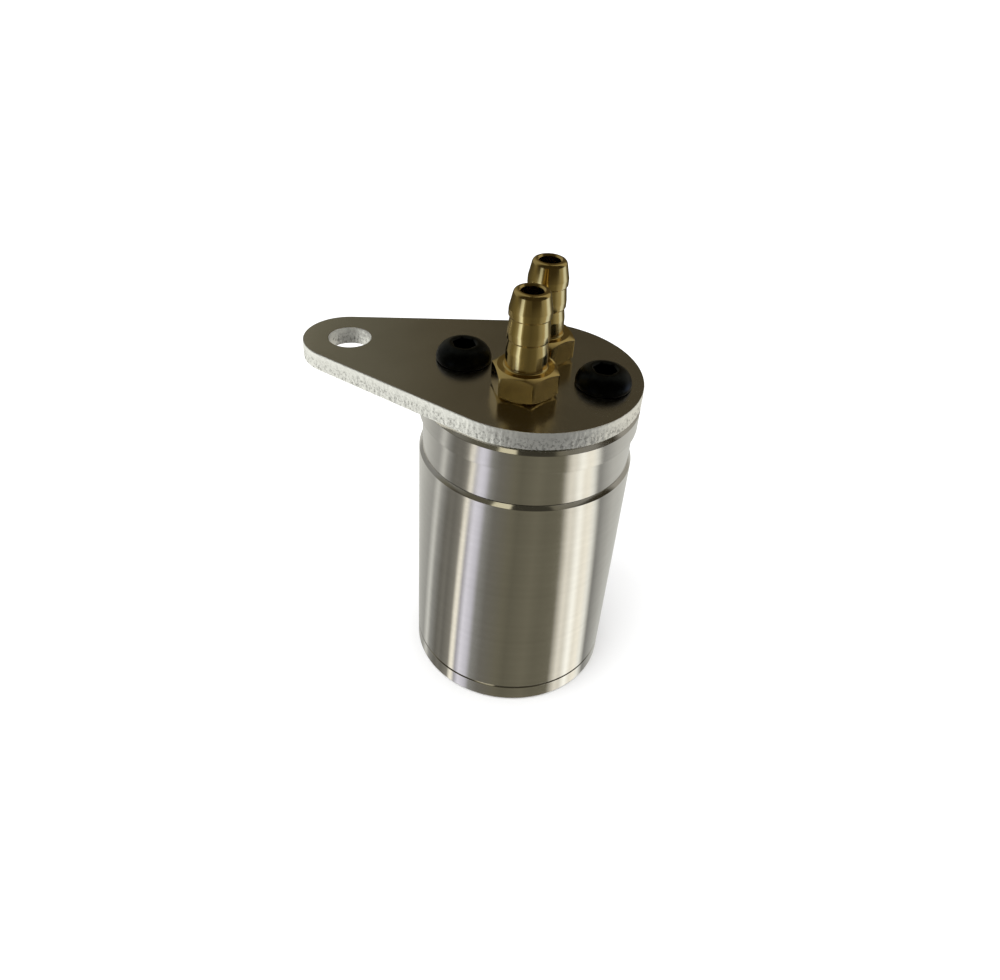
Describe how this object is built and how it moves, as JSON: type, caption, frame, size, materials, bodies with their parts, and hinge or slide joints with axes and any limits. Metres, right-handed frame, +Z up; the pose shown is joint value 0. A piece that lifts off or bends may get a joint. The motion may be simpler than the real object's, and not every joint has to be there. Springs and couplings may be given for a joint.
{
  "type": "hydraulic reservoir",
  "caption": "Small turned-aluminium hydraulic reservoir: screw-together canister under a teardrop mounting plate, with brass hose barbs and a pick-up strainer inside.",
  "frame": {"origin": "centre of the base cap's underside, on the canister's axis", "axes": "+Z up the canister's axis, -X towards the plate's tab, +Y towards the return hose barb"},
  "size_m": [0.0665, 0.042, 0.089],
  "materials": {
    "plate_aluminium": "satin rolled faces, rough cut edge",
    "turned_aluminium": "fine turned",
    "turned_brass": "fine turned",
    "drawn_brass": "drawn tube",
    "black_steel": "black oxide",
    "nitrile_rubber": "matte moulded",
    "black_nylon": "matte moulded",
    "steel_mesh": "woven mesh"
  },
  "bodies": {
    "head": {"lid": "turned_aluminium", "mounting_plate": "plate_aluminium", "left_plate_screw": "black_steel", "right_plate_screw": "black_steel", "outlet_hose_barb": "turned_brass", "return_hose_barb": "turned_brass", "outlet_port_o_ring": "nitrile_rubber", "return_port_o_ring": "nitrile_rubber", "pickup_tube": "drawn_brass", "return_tube": "drawn_brass", "strainer_cage": "black_nylon", "strainer_mesh": "steel_mesh", "strainer_plug": "black_nylon"},
    "lid_seal": {"lid_o_ring": "nitrile_rubber"},
    "bowl": {"body_tube": "turned_aluminium"},
    "base_seal": {"base_o_ring": "nitrile_rubber"},
    "foot": {"base_cap": "turned_aluminium"}
  },
  "joints": [
    {"name": "bowl_drop", "type": "slide", "parent": "head", "child": "lid_seal", "axis": [0, 0, -1], "range_m": [0, 0.00975]},
    {"name": "bowl_turn", "type": "hinge", "parent": "lid_seal", "child": "bowl", "pos_m": [0, 0, 0.03], "axis": [0, 0, -1], "range_deg": [0, 2340]},
    {"name": "base_drop", "type": "slide", "parent": "bowl", "child": "base_seal", "axis": [0, 0, -1], "range_m": [0, 0.00825]},
    {"name": "base_turn", "type": "hinge", "parent": "base_seal", "child": "foot", "pos_m": [0, 0, 0.002], "axis": [0, 0, -1], "range_deg": [0, 1980]}
  ],
  "couplings": [
    {"joint": "bowl_drop", "follows": "bowl_turn", "m_per_rad": 0.00023873},
    {"joint": "base_drop", "follows": "base_turn", "m_per_rad": 0.00023873}
  ]
}
